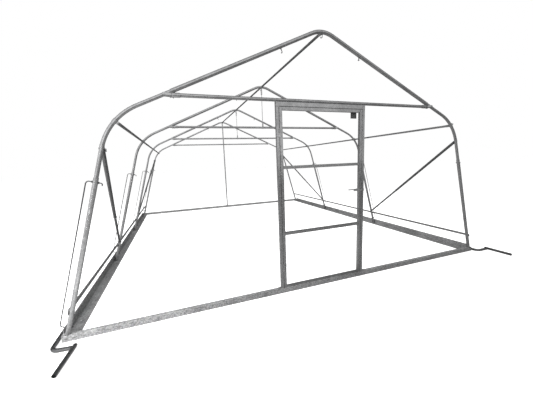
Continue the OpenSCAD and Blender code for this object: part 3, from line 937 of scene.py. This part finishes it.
weather.links.new(rougher, leave.inputs["Rough"])
print("weather:", len(weather.nodes), "nodes")

# %% [markdown]
# ## Five finishes
# Tube, sill, fitting, dull and rubbed steel are one metal at different ages. Each
# takes the two groups with its own values. The tone darkens or lightens one
# base colour, and the same masks move the roughness, so a pale patch is also a
# dull one. A fine bump carries the rim of each crystal.

# %% Build the zinc finishes
GLOSS_SWING = 0.14  # roughness from the dullest to the glossiest crystal
BUMP_STRENGTH = 0.25


def zinc(name, grey, metal, rough, crystal, contrast, clouds, bloom, splash, relief):
    """Metal of one grey, with crystals and weather in tone, roughness and bump."""
    finish = bpy.data.materials.new(name)
    finish.use_nodes = True
    tree = finish.node_tree
    shader = tree.nodes["Principled BSDF"]
    shader.inputs["Metallic"].default_value = metal
    shader.inputs["IOR"].default_value = 1.5
    crystals = tree.nodes.new("ShaderNodeGroup")
    crystals.node_tree = spangle
    crystals.inputs["Scale"].default_value = crystal
    crystals.inputs["Contrast"].default_value = contrast
    aging = tree.nodes.new("ShaderNodeGroup")
    aging.node_tree = weather
    for label, value in (("Clouds", clouds), ("Bloom", bloom), ("Splash", splash)):
        aging.inputs[label].default_value = value
    tint = tree.nodes.new("ShaderNodeVectorMath")
    tint.operation = "SCALE"
    tint.inputs[0].default_value = grey
    tone = math_node(tree, "MULTIPLY", crystals.outputs["Tone"], aging.outputs["Tone"])
    tree.links.new(tone, tint.inputs["Scale"])
    tree.links.new(tint.outputs[0], shader.inputs["Base Color"])
    gloss = math_node(tree, "MULTIPLY", crystals.outputs["Gloss"], GLOSS_SWING)
    roughness = math_node(tree, "ADD", math_node(tree, "ADD", aging.outputs["Rough"], gloss), rough)
    tree.links.new(roughness, shader.inputs["Roughness"])
    bump = tree.nodes.new("ShaderNodeBump")
    bump.inputs["Strength"].default_value = BUMP_STRENGTH
    bump.inputs["Distance"].default_value = relief
    tree.links.new(crystals.outputs["Relief"], bump.inputs["Height"])
    tree.links.new(bump.outputs["Normal"], shader.inputs["Normal"])
    return finish


recipes = {
    "galvanised_tube": dict(grey=(0.47, 0.472, 0.476), metal=0.8, rough=0.17, crystal=60.0, contrast=0.35,
                            clouds=0.22, bloom=0.15, splash=0.22, relief=0.0003),
    "spangled_zinc": dict(grey=(0.5, 0.502, 0.506), metal=0.38, rough=0.26, crystal=110.0, contrast=1.3,
                          clouds=0.2, bloom=0.2, splash=0.3, relief=0.0006),
    "bright_zinc": dict(grey=(0.5, 0.502, 0.506), metal=0.85, rough=0.2, crystal=120.0, contrast=0.2,
                        clouds=0.1, bloom=0.1, splash=0.1, relief=0.0002),
    "dull_zinc": dict(grey=(0.115, 0.116, 0.117), metal=0.3, rough=0.5, crystal=60.0, contrast=0.3,
                      clouds=0.25, bloom=0.25, splash=0.3, relief=0.0006),
    "rubbed_zinc": dict(grey=(0.27, 0.272, 0.276), metal=0.95, rough=0.12, crystal=90.0, contrast=0.25,
                        clouds=0.2, bloom=0.1, splash=0.1, relief=0.0002),
}
finishes = {name: zinc(name, **recipe) for name, recipe in recipes.items()}
print(len(finishes), "finishes")

# %% Give every node and every set its finish
# What hands and film rub is darker and smoother than its neighbours.
RUBBED = ("roll_tube_left", "roll_tube_right", "roll_fittings", "guide_loops_left",
          "guide_loops_right", "loop_nuts", "film_hooks")
for thing in bpy.context.scene.objects:
    if thing.type != "MESH":
        continue
    slot = slots.get(thing.name) or thing.get("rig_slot")
    thing.data.materials.clear()
    thing.data.materials.append(finishes["rubbed_zinc" if thing.name in RUBBED else slot])
print("finishes given")

# %% [markdown]
# ## Floor, light and camera
# The floor is a plain pale sheet. Steel tube takes its look from what it
# mirrors: it is light in the middle, where it faces the open bright side, and
# dark at both edges, where it mirrors what lies behind it. So the surroundings
# are bright on the door side and dim on the far side. Three soft lamps light
# only the matt share of the metal, so that no lamp shows as a hot line: one
# close to the left front corner, one far out on the left, one overhead.

# %% A pale floor
GLOW = 0.72  # seen by the camera only
SEEN_GREY, BOUNCE_GREY = 0.8, 0.22  # to the camera, and as light on the tubes
floor_mesh = bmesh.new()
bmesh.ops.create_grid(floor_mesh, x_segments=1, y_segments=1, size=60)
floor_data = bpy.data.meshes.new("floor")
floor_mesh.to_mesh(floor_data)
floor_mesh.free()
floor = bpy.data.objects.new("floor", floor_data)
floor.location.z = -0.001  # a millimetre below the sills
bpy.context.scene.collection.objects.link(floor)
paper = bpy.data.materials.new("pale_floor")
paper.use_nodes = True
surface = paper.node_tree.nodes["Principled BSDF"]
surface.inputs["Roughness"].default_value = 0.9
surface.inputs["Specular IOR Level"].default_value = 0.1
surface.inputs["Emission Color"].default_value = (1, 1, 1, 1)
eye = paper.node_tree.nodes.new("ShaderNodeLightPath").outputs["Is Camera Ray"]
glow = math_node(paper.node_tree, "MULTIPLY", eye, GLOW)
paper.node_tree.links.new(glow, surface.inputs["Emission Strength"])
sheet_tone = spread(paper.node_tree, eye, 0.0, 1.0, BOUNCE_GREY, SEEN_GREY)
paper.node_tree.links.new(sheet_tone, surface.inputs["Base Color"])
floor_data.materials.append(paper)
print("floor", [round(v, 1) for v in floor.dimensions])

# %% Surroundings: bright on the door side, dim on the far side
BRIGHT_WAY = Vector((-0.3, -0.92, 0.2)).normalized()
DIMMEST = 0.05
world = bpy.data.worlds.new("studio")
bpy.context.scene.world = world
world.use_nodes = True
sky = world.node_tree
backdrop = sky.nodes["Background"]
backdrop.inputs["Color"].default_value = (1, 1, 1, 1)
toward = sky.nodes.new("ShaderNodeVectorMath")
toward.operation = "DOT_PRODUCT"
sky.links.new(sky.nodes.new("ShaderNodeTexCoord").outputs["Generated"], toward.inputs[0])
toward.inputs[1].default_value = BRIGHT_WAY
ahead = spread(sky, toward.outputs["Value"], -0.6, 1.0, 0.0, 1.05, "LINEAR")
shade = math_node(sky, "ADD", math_node(sky, "MULTIPLY", ahead, ahead), DIMMEST)
seen = sky.nodes.new("ShaderNodeLightPath").outputs["Is Camera Ray"]
strength = spread(sky, seen, 0.0, 1.0, shade, 1.0)
sky.links.new(strength, backdrop.inputs["Strength"])
print("surroundings ready")

# %% Soft lamps
lamps = (  # name, place, aim, size, watts
    ("corner_lamp", (-2.9, -1.4, 1.0), (-2.2, 0.0, 0.3), 0.8, 70),
    ("side_lamp", (-7.0, -0.5, 2.5), (0.0, 1.0, 1.0), 3.0, 380),
    ("ceiling_lamp", (0.0, 2.5, 7.5), (0.0, 3.0, 0.0), 7.0, 560),
)
for name, at, target, size, power in lamps:
    light = bpy.data.lights.new(name, "AREA")
    light.size = size
    light.energy = power
    lamp = bpy.data.objects.new(name, light)
    lamp.matrix_world = lay(at, Vector(at) - Vector(target))
    lamp.visible_camera = False
    lamp.visible_glossy = False
    bpy.context.scene.collection.objects.link(lamp)
print(len(lamps), "lamps")

# %% [markdown]
# ## The camera
# It stands at eye height outside the left half of the front gable and looks
# a little down and to the right, with a wide lens. Its turn is built from the
# way it looks, with a slight roll, which is easier to read than three angles.

# %% Place the camera
CAMERA_AT = Vector((-1.5665, -2.4909, 1.4781))
YAW, TILT, ROLL = math.radians(19.402), math.radians(-8.61), math.radians(-2.27)
FOCAL_SHARE = 0.47424  # focal length as a share of the sensor's width
look = Vector((math.sin(YAW) * math.cos(TILT), math.cos(YAW) * math.cos(TILT), math.sin(TILT)))
level = Vector((math.cos(YAW), -math.sin(YAW), 0))
rise = level.cross(look)
right = level * math.cos(ROLL) + rise * math.sin(ROLL)
upward = rise * math.cos(ROLL) - level * math.sin(ROLL)
camera_data = bpy.data.cameras.new("camera")
camera_data.sensor_width = 36
camera_data.lens = camera_data.sensor_width * FOCAL_SHARE
camera_data.clip_end = 200
camera = bpy.data.objects.new("camera", camera_data)
turned = Matrix((right, upward, -look)).transposed().to_4x4()
camera.matrix_world = Matrix.Translation(CAMERA_AT) @ turned
bpy.context.scene.collection.objects.link(camera)
bpy.context.scene.camera = camera
bpy.context.scene.view_settings.view_transform = "Standard"
print("lens", round(camera_data.lens, 2), "mm")
